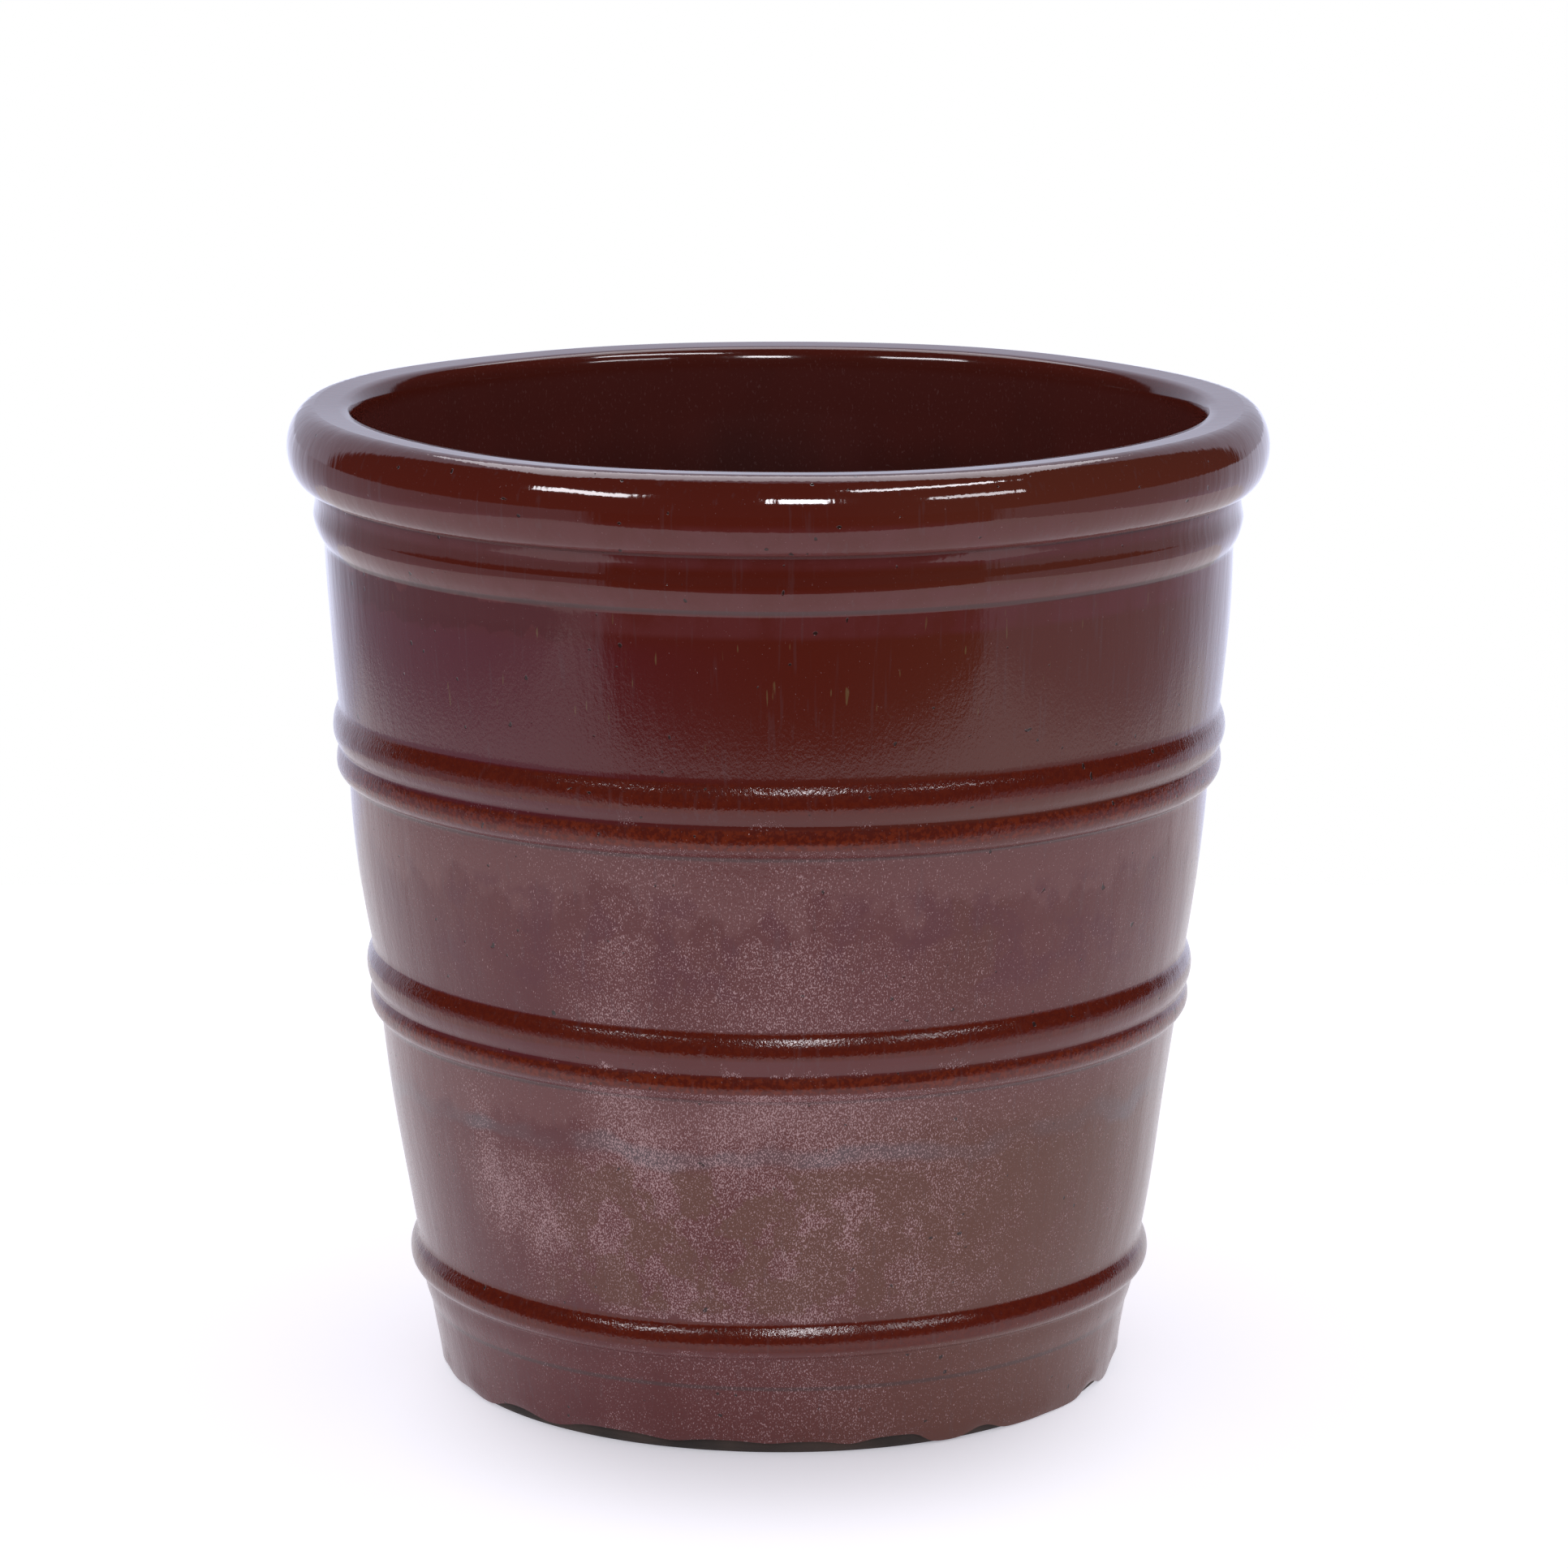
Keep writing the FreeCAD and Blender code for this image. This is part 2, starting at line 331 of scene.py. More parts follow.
RADIAL_WAVES = wave_table(SEED, WAVES, fastest_turn=9, fastest_climb=60)
HEIGHT_WAVES = wave_table(SEED + 1, WAVES, fastest_turn=7, fastest_climb=40)
FLUTE_WAVES = wave_table(SEED + 4, 3 * WAVES, fastest_turn=60, fastest_climb=25)
EDGE_WAVES = wave_table(SEED + 2, WAVES, fastest_turn=26, fastest_climb=0)
ROLL_WAVES = wave_table(SEED + 3, 2 * WAVES, fastest_turn=30, fastest_climb=0)


def uneven(radius, height, angle):
    """Moves turned points as the potter's hands and the kiln have moved them."""
    top = cad_top()
    rise = np.clip(height / top, 0, 1)
    standing = np.clip(height / DRIP_TOP, 0, 1)
    out = RADIAL_WAVER * waver(RADIAL_WAVES, angle, height)
    out = out + FLUTE_WAVER * waver(FLUTE_WAVES, angle, height)
    up = HEIGHT_WAVER * waver(HEIGHT_WAVES, angle, height) * standing
    up = up - RIM_TILT * np.cos(angle) * rise**2
    calm = np.clip(radius / CALM_RADIUS, 0, 1) ** 2
    return radius + out * calm, height + up * calm


def cad_top():
    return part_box("outer_glaze")[1].z


def glaze_edge(angle):
    """Height above the ground where the glaze ends, lower in the drips."""
    swing = waver(EDGE_WAVES, angle + DRIP_TURN, 0.0)
    return DRIP_EDGE - DRIP_REACH * np.tanh(swing)


def dripping(radius, height, angle):
    """Draws the foot of the outer glaze down to its wavy edge and thickens it there."""
    edge = glaze_edge(angle)
    start = glaze_start()
    share = (DRIP_TOP - height) / (DRIP_TOP - start)
    low = height < DRIP_TOP
    new_height = np.where(low, DRIP_TOP - share * (DRIP_TOP - edge), height)
    slope = foot_slope()
    above = np.clip((new_height - edge) / DRIP_ROLL, 0, None)
    fat = DRIP_FATNESS + DRIP_VARIETY * waver(ROLL_WAVES, angle, 0.0)
    lip = DRIP_THICKNESS * np.clip(fat, DRIP_LEANEST, None) * above * np.exp(1 - above)
    new_radius = radius + slope * (new_height - height) + np.where(low, lip, 0)
    return new_radius, new_height


def foot_slope():
    foot, crease = foot_corner(), bead_corners("lower_band_bottom")[0]
    return (crease[0] - foot[0]) / (crease[1] - foot[1])


def glaze_start():
    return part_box("outer_glaze")[0].z


# ---------------------------------------------------------------- meshes


def turned(name, outline, node, material, shapers=(uneven,)):
    """A closed outline turned about Z as one piece that stands for one CAD node."""
    angle = np.arange(SEGMENTS) * TURN / SEGMENTS
    count = len(outline)
    radius = np.repeat(outline[:, :1], SEGMENTS, axis=1)
    height = np.repeat(outline[:, 1:], SEGMENTS, axis=1)
    angle = np.repeat(angle[None, :], count, axis=0)
    for shaper in shapers:
        radius, height = shaper(radius, height, angle)
    points = np.stack((radius * np.cos(angle), radius * np.sin(angle), height), axis=-1)
    ring = np.arange(count)[:, None] * SEGMENTS
    after = np.roll(ring, -1, axis=0)
    spot = np.arange(SEGMENTS)[None, :]
    beside = np.roll(spot, -1, axis=1)
    faces = np.stack((ring + spot, ring + beside, after + beside, after + spot), axis=-1)
    mesh = bpy.data.meshes.new(name)
    mesh.from_pydata(points.reshape(-1, 3), [], faces.reshape(-1, 4).tolist())
    work = bmesh.new()
    work.from_mesh(mesh)
    bmesh.ops.recalc_face_normals(work, faces=work.faces)
    work.to_mesh(mesh)
    work.free()
    mesh.shade_smooth()
    mesh.set_sharp_from_angle(angle=SHARP_ANGLE)
    mesh.materials.append(material)
    piece = bpy.data.objects.new(name, mesh)
    bpy.context.scene.collection.objects.link(piece)
    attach(piece, "root")
    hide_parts(node)
    return piece


def glazed_outlines(skin):
    """Outside and inside outline of the pot, parted at the crown of the rim."""
    start = foot_corner() + (foot_slope() * glaze_start(), glaze_start())
    walls = np.vstack((start, outside_wall()[1:])) + (skin, 0)
    inside = softened(inside_wall(skin), HOLLOW_SOFTNESS)
    whole = np.vstack((walls, rim_outside(skin), rim_inside(skin), inside))
    whole = softened(whole, CREASE_SOFTNESS)
    crown = whole[:, 1].argmax()
    return whole[: crown + 1], whole[crown:]


def skin_piece(name, node, side, rings_in_face, material, shapers):
    """Skin of glaze on one side of the pot, between its face and the clay."""
    face = thinned(glazed_outlines(GLAZE)[side], rings_in_face)
    back = thinned(glazed_outlines(0.0)[side], SKIN_RINGS)
    outline = np.vstack((face, back[::-1]))
    return turned(name, outline, node, material, shapers)


def bead(node, material):
    low, _, high = bead_corners(node)
    face = thinned(softened(bead_face(node), CREASE_SOFTNESS), CLAY_RINGS)
    outline = fresh(np.vstack((low, face, high)))
    return turned(f"clay_{node}", outline, node, material)


def rim_roll(material):
    _, _, inner, under, _ = rim_measures()
    outline = np.vstack((rim_outside(0.0), rim_inside(0.0)[1:], (inner, under)))
    return turned("clay_rim_roll", outline, "rim_roll", material)


def wall(material):
    """The wall under its coils, whose seats are straight."""
    foot = foot_corner()
    corners = [foot - (FOOT_ROUNDING, 0), foot + (0, FOOT_ROUNDING)]
    for band in BANDS:
        corners.append(bead_corners(f"{band}_band_bottom")[0])
        corners.append(bead_corners(f"{band}_band_top")[2])
    corners += [bead_corners("collar_bead")[0], bead_corners("collar_bead")[2]]
    parts = [corners[:2]]
    for low, high in zip(corners[1::2], corners[2::2]):
        stand = 0.0 if low is corners[1] else bulge("wall", low, high)
        parts.append(long_wall(low, high, stand))
    outer = np.vstack(parts + [corners[-1:]])
    crown, _, _, under, _ = rim_measures()
    inside = inside_wall(0.0)[:-1]
    base = np.array((inside[-1][0], 0.0))
    outline = fresh(np.vstack((outer, (crown, under), inside, base)))
    return turned("clay_wall", outline, "wall", material)


def floor_slab(material):
    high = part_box("floor_slab")[1]
    hole = rings("floor_slab")[:, 0].min()
    edge = high.x
    outline = np.array((
        (hole, SLAB_ROUNDING), (hole + SLAB_ROUNDING, 0.0), (edge, 0.0), (edge, high.z),
        (hole + SLAB_ROUNDING, high.z), (hole, high.z - SLAB_ROUNDING),
    ))
    return turned("clay_floor_slab", outline, "floor_slab", material)


# ---------------------------------------------------------------- materials


class Graph:
    """Short calls that add nodes to a node tree."""

    def __init__(self, tree):
        tree.nodes.clear()
        self.tree = tree

    def add(self, kind, inputs=None, **settings):
        node = self.tree.nodes.new(kind)
        for name, value in settings.items():
            setattr(node, name, value)
        for name, value in (inputs or {}).items():
            if isinstance(value, bpy.types.NodeSocket):
                self.tree.links.new(value, node.inputs[name])
            else:
                node.inputs[name].default_value = value
        return node

    def math(self, operation, first, second=0.0, third=0.0):
        inputs = {0: first, 1: second}
        if operation == "MULTIPLY_ADD":
            inputs[2] = third
        return self.add("ShaderNodeMath", inputs, operation=operation).outputs[0]

    def ease(self, value, low, high, start=0.0, end=1.0):
        """Smooth change from start to end while value goes from low to high."""
        inputs = {"Value": value, "From Min": low, "From Max": high, "To Min": start, "To Max": end}
        node = self.add("ShaderNodeMapRange", inputs, interpolation_type="SMOOTHSTEP")
        return node.outputs["Result"]

    def band(self, value, low, high, soft):
        """One between low and high, fading out over soft on either side."""
        rise = self.ease(value, low - soft, low)
        fall = self.ease(value, high, high + soft, 1.0, 0.0)
        return self.math("MULTIPLY", rise, fall)

    def total(self, *shares):
        """Sum of the shares, no more than one."""
        summed = shares[0]
        for share in shares[1:]:
            summed = self.math("ADD", summed, share)
        return self.math("MINIMUM", summed, 1.0)

    def product(self, *shares):
        result = shares[0]
        for share in shares[1:]:
            result = self.math("MULTIPLY", result, share)
        return result

    def swayed(self, value, pattern, reach):
        """The value moved by up to half of reach either way, as the pattern goes."""
        return self.math("MULTIPLY_ADD", self.math("SUBTRACT", pattern, 0.5), reach, value)

    def noise(self, place, along, per_metre, detail, roughness):
        """Pattern between 0 and 1; an along below one draws it out up the wall."""
        drawn = self.add("ShaderNodeVectorMath", {0: place, 1: (1, 1, along)}, operation="MULTIPLY")
        inputs = {
            "Vector": drawn.outputs["Vector"], "Scale": per_metre,
            "Detail": detail, "Roughness": roughness,
        }
        return self.add("ShaderNodeTexNoise", inputs).outputs["Fac"]

    def blend(self, share, first, second):
        node = self.add("ShaderNodeMix", {"Factor": share}, data_type="RGBA")
        for socket, value in ((node.inputs[6], first), (node.inputs[7], second)):
            if isinstance(value, bpy.types.NodeSocket):
                self.tree.links.new(value, socket)
            else:
                socket.default_value = (*value, 1.0)
        return node.outputs[2]

    def bump(self, height, strength, distance, **under):
        inputs = {"Height": height, "Strength": strength, "Distance": distance}
        return self.add("ShaderNodeBump", {**inputs, **under}).outputs["Normal"]

    def finish(self, inputs):
        """Shader of a material, with its output."""
        shader = self.add("ShaderNodeBsdfPrincipled", inputs)
        self.add("ShaderNodeOutputMaterial", {"Surface": shader.outputs["BSDF"]})


def new_material(name):
    material = bpy.data.materials.new(name)
    material.use_nodes = True
    return material, Graph(material.node_tree)


# colours of the glaze and the clay
OXBLOOD = (0.088, 0.0120, 0.0070)
ROSE = (0.106, 0.0215, 0.0215)
PLUM = (0.086, 0.0110, 0.0190)
DEEP_RED = (0.070, 0.0070, 0.0070)
STREAK = (0.150, 0.1000, 0.0450)
MAUVE = (0.138, 0.0450, 0.0440)
EMBER = (0.150, 0.0180, 0.0040)
OLIVE = (0.110, 0.0370, 0.0210)
SLATE = (0.100, 0.0620, 0.0700)
CREST_RED = (0.086, 0.0085, 0.0035)
PIT_BROWN = (0.030, 0.0120, 0.0100)
# painted shade in the creases under the rim and the coils
CREASE_SHADE_SLATE = (0.050, 0.0300, 0.0300)
FUR = (0.46, 0.290, 0.300)
INSIDE_RED = (0.098, 0.0200, 0.0170)
# painted shade: the inside glaze deeper in the pot
INSIDE_SHADED_RED = (0.066, 0.0170, 0.0150)
CLAY_DARK = (0.022, 0.015, 0.012)
CLAY_BROWN = (0.060, 0.036, 0.027)
GLAZE_IOR = 1.45

# patterns: how far each is drawn out upwards, cells in a metre, detail and roughness
OUTSIDE_PATTERNS = {
    "cloud": (0.70, 15, 3.0, 0.50),
    "blotch": (0.80, 48, 4.0, 0.60),
    "cells": (1.00, 380, 2.0, 0.60),
    "fingers": (0.50, 52, 3.0, 0.55),
    "tide": (1.00, 22, 2.0, 0.50),
    "streak": (0.05, 330, 2.0, 0.50),
    "sparse": (0.14, 420, 1.0, 0.50),
    "pits": (1.00, 260, 0.0, 0.50),
    "fur": (0.55, 1800, 1.0, 0.50),
    "ripple": (0.60, 800, 2.0, 0.60),
    "swell": (0.22, 75, 3.0, 0.60),
}
INSIDE_PATTERNS = {
    "cloud": (0.50, 20, 3.0, 0.50),
    "fur": (0.55, 900, 2.0, 0.50),
    "ripple": (0.30, 160, 2.0, 0.50),
}
CLAY_PATTERNS = {
    "cloud": (1.00, 25, 3.0, 0.50),
    "grain": (1.00, 1200, 4.0, 0.70),
}

# Where the outer glaze changes.  A zone is two heights and the softness of its edges.  The
# other rows are two heights, two places from side to side or two values of a pattern, over
# which a share grows from nothing to one, or between the two shares that follow.
# plum to the left and olive to the right are painted reflection tints: cooler light on the left
# side, warmer on the right
PLUM_REFLECTION_SIDE = (0.02, -0.16, 0.0, 0.8)
PLUM_FADE = (0.43, 0.41)
OLIVE_REFLECTION_SIDE = (0.0, 0.12, 0.0, 0.28)
ROSY_FADE = (0.335, 0.305)
ROSY_CLOUD = (0.30, 0.60, 0.30, 1.0)
# rose under the rim and on the collar's underside: painted reflection of the pale floor on these
# downward faces, blotchy
FLOOR_REFLECTION_ZONES = ((0.424, 0.443, 4 * MM), (0.458, 0.476, 4 * MM))
FLOOR_REFLECTION_BLOTCH = (0.35, 0.60, 0.45, 0.95)
STAIN_ZONE = (0.433, 0.448, 2 * MM)
STAIN_REACH = 0.03
STAIN_SIDE = (-0.07, -0.12, 0.0, 0.8)
MAROON_ZONE = (0.245, 0.288, 10 * MM)
MAROON_BLOTCH = (0.48, 0.60, 0.0, 0.6)
MOTTLE_ZONE = (0.080, 0.148, 8 * MM)
MOTTLE_BLOTCH = (0.46, 0.54)
MOTTLE_SIDE = (-0.14, -0.07)
LOW_OLIVE_FADE = (0.20, 0.16)
LOW_OLIVE_SIDE = (-0.03, 0.10, 0.0, 0.8)
LOW_OLIVE_SHARE = 0.85
TIDE_ZONE = (0.159, 0.163, 5 * MM)
TIDE_REACH = 0.035
TIDE_CLOUD = (0.3, 0.7)
RUNNEL_STREAK = (0.60, 0.72, 0.0, 0.15)
SPARK_ZONE = (0.38, 0.42, 20 * MM)
SPARK_SPARSE = (0.73, 0.78, 0.0, 0.5)
PIT_NOISE = (0.83, 0.86)

# running glaze under two of the coils: how far down it hangs and how much its fingers differ
CURTAINS = {"upper": (24 * MM, 75 * MM), "middle": (17 * MM, 45 * MM)}
CURTAIN_SOFTNESS = 10 * MM
CURTAIN_END = (80 * MM, 50 * MM)
CURTAIN_SHARE = 0.8

# stripes on the crests of the coils, and thin dark lines under them that are painted shade in the
# creases
STRIPE_BELOW_CREST = 2 * MM
STRIPE_BELOW_TOP = 3 * MM
STRIPE_SOFTNESS = 2 * MM
HIGH_GLOW = 0.3
GLOW_CELLS = (0.42, 0.60, 0.0, 0.8)
CREASE_SHADE_SOFTNESS = 1.2 * MM
CREASE_SHADE_SHARE = 0.6

# pale crystals, partly painted glints of the lamps: zones with their weights, and how clouds,
# sides, stripes and mottling thin them; the side band near the middle is where the glints are
# painted
FUR_ZONES = (
    (0.004, 0.056, 0.60), (0.072, 0.150, 0.92), (0.156, 0.200, 0.85),
    (0.220, 0.268, 0.70), (0.276, 0.324, 0.55),
)
FUR_ZONE_SOFTNESS = 6 * MM
FUR_CLOUD = (0.30, 0.70, 0.65, 1.10)
FUR_GLINT_REACH = 0.30
FUR_GLINT_BAND = (-0.05, 0.03, 0.12)
FUR_IN_GLINT_BAND = 0.50
FUR_ELSEWHERE = 0.45
FUR_RAGGED_REACH = 0.05
FUR_ON_STRIPES = (0.0, 1.0, 1.0, 0.1)
FUR_ON_MOTTLE = (0.0, 1.0, 1.0, 0.7)
FUR_SPREAD = 0.32
FUR_CUT = 0.74
FUR_SOFTNESS = 0.12
FUR_SHARE = 0.7

# gloss and relief of the outer glaze
ROUGH_FADE = (0.36, 0.46, 0.15, 0.06)
ROUGH_CLOUD = 0.10
ROUGH_FUR = 0.12
ROUGH_STRIPE = 0.03
RELIEF_FUR = 0.4
RELIEF_FADE = (0.36, 0.44, 1.0, 0.10)
RELIEF_STRIPE = (0.0, 1.0, 1.0, 1.7)
RELIEF_PIT = -2.0
OUTSIDE_FOLDS = (0.25, 1.2 * MM)
OUTSIDE_GRAIN = (0.40, 0.3 * MM)

# the inner glaze, from its lip down; it is painted darker further down, as shade inside the pot
INSIDE_SHADE_FADE = (0.48, 0.40)
INSIDE_MOTTLE = 1.6
INSIDE_LIP = (0.487, 0.495)
INSIDE_FUR = (0.60, 0.75, 0.0, 0.10)
INSIDE_ROUGHNESS = 0.10
INSIDE_RIPPLE = (0.10, 0.5 * MM)

CLAY_CLOUD = (0.3, 0.7)
CLAY_ROUGHNESS = 0.85
CLAY_GRAIN = (0.5, 0.4 * MM)


def places(graph):
    """The place on the pot, its height above the ground and its distance to the right."""
    place = graph.add("ShaderNodeTexCoord").outputs["Object"]
    axes = graph.add("ShaderNodeSeparateXYZ", {0: place})
    return place, axes.outputs["Z"], axes.outputs["X"]


def patterns(graph, place, table):
    return {name: graph.noise(place, *row) for name, row in table.items()}


def stained(graph, colour, stain, *shares):
    """The colour, stained as far as all of the shares allow."""
    return graph.blend(graph.product(*shares), colour, stain)


def stripes(graph, height, half):
    """Share of the round faces of the low or high coils, where the glaze is thin and dark."""
    faces = []
    for band in BANDS:
        if f"{band}_band_{half}" == GENTLE_COIL:
            continue
        _, crest, high = bead_corners(f"{band}_band_{half}")
        low_end, high_end = crest[1] - STRIPE_BELOW_CREST, high[1] - STRIPE_BELOW_TOP
        faces.append(graph.band(height, low_end, high_end, STRIPE_SOFTNESS))
    return graph.total(*faces)


def crease_shade_lines(graph, height):
    """Share of the thin dark lines under the rim and the coils: painted shade in the creases."""
    nodes = ["collar_bead", "rim_roll"] + [f"{band}_band_bottom" for band in BANDS]
    heights = [bead_corners(node)[0][1] for node in nodes]
    return graph.total(*(graph.band(height, z - MM, z, CREASE_SHADE_SOFTNESS) for z in heights))


def curtains(graph, height, fingers):
    """Share of the pale glaze that has run down in fingers from under two of the coils."""
    runs = []
    for band, (depth, reach) in CURTAINS.items():
        crease = bead_corners(f"{band}_band_bottom")[0][1]
        hanging = graph.swayed(height, fingers, reach)
        far, near = CURTAIN_END
        runs.append(graph.product(
            graph.ease(hanging, crease - depth - CURTAIN_SOFTNESS, crease - depth),
            graph.ease(height, crease + MM, crease - MM),
            graph.ease(height, crease - far, crease - near),
        ))
    return graph.total(*runs)


def fur_and_glint_density(graph, height, side, cloud):
    """How thickly the pale crystals and painted lamp glints lie: most on the lower wall in front
    and to the left, where the glints are painted.
    """
    density = 0.0
    for low, high, weight in FUR_ZONES:
        zone = graph.band(height, low, high, FUR_ZONE_SOFTNESS)
        density = graph.math("MULTIPLY_ADD", zone, weight, density)
    patchy = graph.ease(cloud, *FUR_CLOUD)
    # painted lamp glints: the speckle lies thicker in a band near the middle from side to side
    aside = graph.swayed(side, cloud, FUR_GLINT_REACH)
    in_glint_band = graph.band(aside, *FUR_GLINT_BAND)
    glint_facing = graph.math("MULTIPLY_ADD", in_glint_band, FUR_IN_GLINT_BAND, FUR_ELSEWHERE)
    return graph.product(density, patchy, glint_facing)


def wall_colour(graph, height, side, pattern):
    """Plum to the left and olive to the right as painted reflection tints, rosy below, rose painted
    as the floor's reflection under the rim and the collar, with pale and dark runs on top.
    """
    plum = graph.ease(height, *PLUM_FADE)
    # painted reflection tints: plum towards the left, olive towards the right
    colour = stained(graph, OXBLOOD, PLUM, plum, graph.ease(side, *PLUM_REFLECTION_SIDE))
    colour = stained(graph, colour, OLIVE, graph.ease(side, *OLIVE_REFLECTION_SIDE))
    rosy = graph.ease(height, *ROSY_FADE)
    colour = stained(graph, colour, ROSE, rosy, graph.ease(pattern["cloud"], *ROSY_CLOUD))
    # painted reflection: rose where the faces under the rim and the collar look down at the floor
    floor_reflection = graph.total(*(graph.band(height, *zone) for zone in FLOOR_REFLECTION_ZONES))
    colour = stained(graph, colour, ROSE, floor_reflection, graph.ease(pattern["blotch"], *FLOOR_REFLECTION_BLOTCH))
    hanging = graph.math("MULTIPLY_ADD", pattern["fingers"], STAIN_REACH, height)
    stain = graph.band(hanging, *STAIN_ZONE)
    colour = stained(graph, colour, DEEP_RED, stain, graph.ease(side, *STAIN_SIDE))
    runs = curtains(graph, height, pattern["fingers"])
    return stained(graph, colour, MAUVE, runs, CURTAIN_SHARE)


def low_mottle(graph, height, side, pattern):
    """Share of the brown blotches on the lower wall."""
    blotches = graph.ease(pattern["blotch"], *MOTTLE_BLOTCH)
    return graph.product(graph.band(height, *MOTTLE_ZONE), blotches, graph.ease(side, *MOTTLE_SIDE))


def low_colour(graph, colour, height, side, pattern, mottle):
    """Maroon, olive and slate stains of the two lower walls."""
    maroon = graph.ease(pattern["blotch"], *MAROON_BLOTCH)
    colour = stained(graph, colour, PLUM, graph.band(height, *MAROON_ZONE), maroon)
    rightwards = graph.ease(side, *LOW_OLIVE_SIDE)
    rightwards = graph.product(graph.ease(height, *LOW_OLIVE_FADE), rightwards)
    olive = graph.total(mottle, rightwards)
    colour = stained(graph, colour, OLIVE, olive, LOW_OLIVE_SHARE)
    rolling = graph.swayed(height, pattern["tide"], TIDE_REACH)
    tide = graph.band(rolling, *TIDE_ZONE)
    return stained(graph, colour, SLATE, tide, graph.ease(pattern["cloud"], *TIDE_CLOUD))


def stripe_colour(graph, colour, height, low_stripes, high_stripes, cells):
    """Bare dark red on the crests of the coils, glowing orange most on the low ones."""
    colour = graph.blend(graph.total(low_stripes, high_stripes), colour, CREST_RED)
    glow = graph.total(low_stripes, graph.product(high_stripes, HIGH_GLOW))
    colour = stained(graph, colour, EMBER, glow, graph.ease(cells, *GLOW_CELLS))
    # painted shade: thin dark lines in the creases under the rim and the coils
    return stained(graph, colour, CREASE_SHADE_SLATE, crease_shade_lines(graph, height), CREASE_SHADE_SHARE)


def fur_and_glint_share(graph, height, side, pattern, all_stripes, mottle):
    """Share of the pale crystals and painted lamp glints: a fine speckle that closes up where they
    lie thickly.
    """
    ragged = graph.swayed(height, pattern["blotch"], FUR_RAGGED_REACH)
    density = graph.product(
        fur_and_glint_density(graph, ragged, side, pattern["cloud"]),
        graph.ease(all_stripes, *FUR_ON_STRIPES),
        graph.ease(mottle, *FUR_ON_MOTTLE),
    )
    over = graph.math("SUBTRACT", pattern["fur"], FUR_CUT)
    over = graph.math("MULTIPLY_ADD", density, FUR_SPREAD, over)
    return graph.ease(over, 0.0, FUR_SOFTNESS)


def gloss(graph, height, pattern, fur, low_stripes):
    """Roughness: glassy at the rim, duller lower down and on the crystals."""
    rough = graph.swayed(graph.ease(height, *ROUGH_FADE), pattern["cloud"], ROUGH_CLOUD)
    rough = graph.math("MULTIPLY_ADD", fur, ROUGH_FUR, rough)
    return graph.math("MULTIPLY_ADD", low_stripes, ROUGH_STRIPE, rough)


def relief(graph, height, pattern, fur, all_stripes, pits):
    """Normal of the rippled surface: broad folds with a fine grain and pits on them."""
    grain = graph.math("MULTIPLY_ADD", fur, RELIEF_FUR, pattern["ripple"])
    fade = graph.ease(height, *RELIEF_FADE)
    grain = graph.product(grain, fade, graph.ease(all_stripes, *RELIEF_STRIPE))
    grain = graph.math("MULTIPLY_ADD", pits, RELIEF_PIT, grain)
    folds = graph.bump(pattern["swell"], *OUTSIDE_FOLDS)
    return graph.bump(grain, *OUTSIDE_GRAIN, Normal=folds)


def outer_glaze_material():
    material, graph = new_material("oxblood_glaze_outside")
    place, height, side = places(graph)
    pattern = patterns(graph, place, OUTSIDE_PATTERNS)
    low_stripes, high_stripes = stripes(graph, height, "bottom"), stripes(graph, height, "top")
    all_stripes = graph.total(low_stripes, high_stripes)
    mottle = low_mottle(graph, height, side, pattern)
    colour = wall_colour(graph, height, side, pattern)
    colour = low_colour(graph, colour, height, side, pattern, mottle)
    colour = stripe_colour(graph, colour, height, low_stripes, high_stripes, pattern["cells"])
    colour = graph.blend(graph.ease(pattern["streak"], *RUNNEL_STREAK), colour, SLATE)
    sparks = graph.ease(pattern["sparse"], *SPARK_SPARSE)
    colour = stained(graph, colour, STREAK, sparks, graph.band(height, *SPARK_ZONE))
    pits = graph.ease(pattern["pits"], *PIT_NOISE)
    colour = graph.blend(pits, colour, PIT_BROWN)
    # pale crystals together with painted glints of the lamps
    fur = fur_and_glint_share(graph, height, side, pattern, all_stripes, mottle)
    graph.finish({
        "Base Color": stained(graph, colour, FUR, fur, FUR_SHARE),
        "Roughness": gloss(graph, height, pattern, fur, low_stripes),
        "IOR": GLAZE_IOR,
        "Normal": relief(graph, height, pattern, fur, all_stripes, pits),
    })
    return material


def inner_glaze_material():
    material, graph = new_material("oxblood_glaze_inside")
    place, height, _ = places(graph)
    pattern = patterns(graph, place, INSIDE_PATTERNS)
    # painted shade: the inside glaze turns darker from the lip downwards, mottled by the cloud
    painted_depth_shade = graph.swayed(graph.ease(height, *INSIDE_SHADE_FADE), pattern["cloud"], INSIDE_MOTTLE)
    colour = graph.blend(graph.ease(painted_depth_shade, 0.0, 1.0), INSIDE_RED, INSIDE_SHADED_RED)
    colour = graph.blend(graph.ease(height, *INSIDE_LIP), colour, OXBLOOD)
    colour = graph.blend(graph.ease(pattern["fur"], *INSIDE_FUR), colour, FUR)
    graph.finish({
        "Base Color": colour, "Roughness": INSIDE_ROUGHNESS, "IOR": GLAZE_IOR,
        "Normal": graph.bump(pattern["ripple"], *INSIDE_RIPPLE),
    })
    return material


def clay_material():
    material, graph = new_material("fired_clay")
    place, _, _ = places(graph)
    pattern = patterns(graph, place, CLAY_PATTERNS)
    graph.finish({
        "Base Color": graph.blend(graph.ease(pattern["cloud"], *CLAY_CLOUD), CLAY_DARK, CLAY_BROWN),
        "Roughness": CLAY_ROUGHNESS,
        "Normal": graph.bump(pattern["grain"], *CLAY_GRAIN),
    })
    return material


